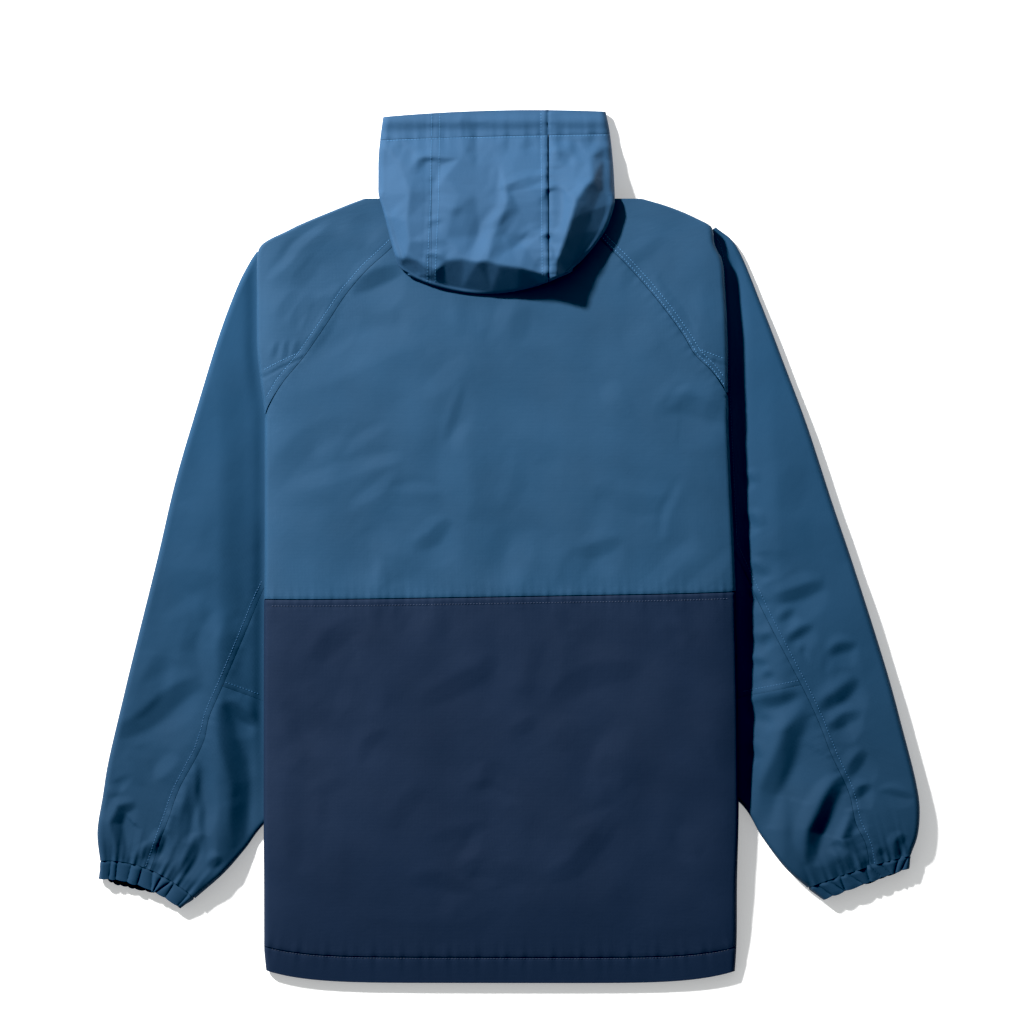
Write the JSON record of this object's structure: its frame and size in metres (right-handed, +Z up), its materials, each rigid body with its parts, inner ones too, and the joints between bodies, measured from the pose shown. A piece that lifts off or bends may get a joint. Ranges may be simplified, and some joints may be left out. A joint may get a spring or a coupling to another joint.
{
  "type": "anorak pullover",
  "caption": "Hooded pullover anorak laid flat with its back up, raglan sleeves tucked beside a two-colour body, gathered cuffs and the hood folded back.",
  "frame": {"origin": "middle of the laid garment's box, on the surface it lies on", "axes": "+Y from the hem to the hood along the centre back, +Z up from the surface, +X towards the wearer's right sleeve"},
  "size_m": [0.8222, 0.8728, 0.0534],
  "materials": {
    "blue_nylon": "mid blue coated plain-weave nylon, soft sheen",
    "navy_nylon": "navy coated plain-weave nylon, soft sheen"
  },
  "bodies": {
    "root": {"back_upper": "blue_nylon", "front_upper": "blue_nylon", "shoulder_left": "blue_nylon", "shoulder_right": "blue_nylon", "sleeve_left": "blue_nylon", "sleeve_right": "blue_nylon", "under_upper_left": "blue_nylon", "under_upper_right": "blue_nylon", "under_lower_left": "blue_nylon", "under_lower_right": "blue_nylon", "cuff_left": "blue_nylon", "cuff_right": "blue_nylon", "hood_centre": "blue_nylon", "hood_side_left": "blue_nylon", "hood_side_right": "blue_nylon", "hood_casing": "blue_nylon", "back_lower": "navy_nylon", "front_lower": "navy_nylon", "hem_back": "navy_nylon", "hem_front": "navy_nylon"}
  },
  "joints": []
}
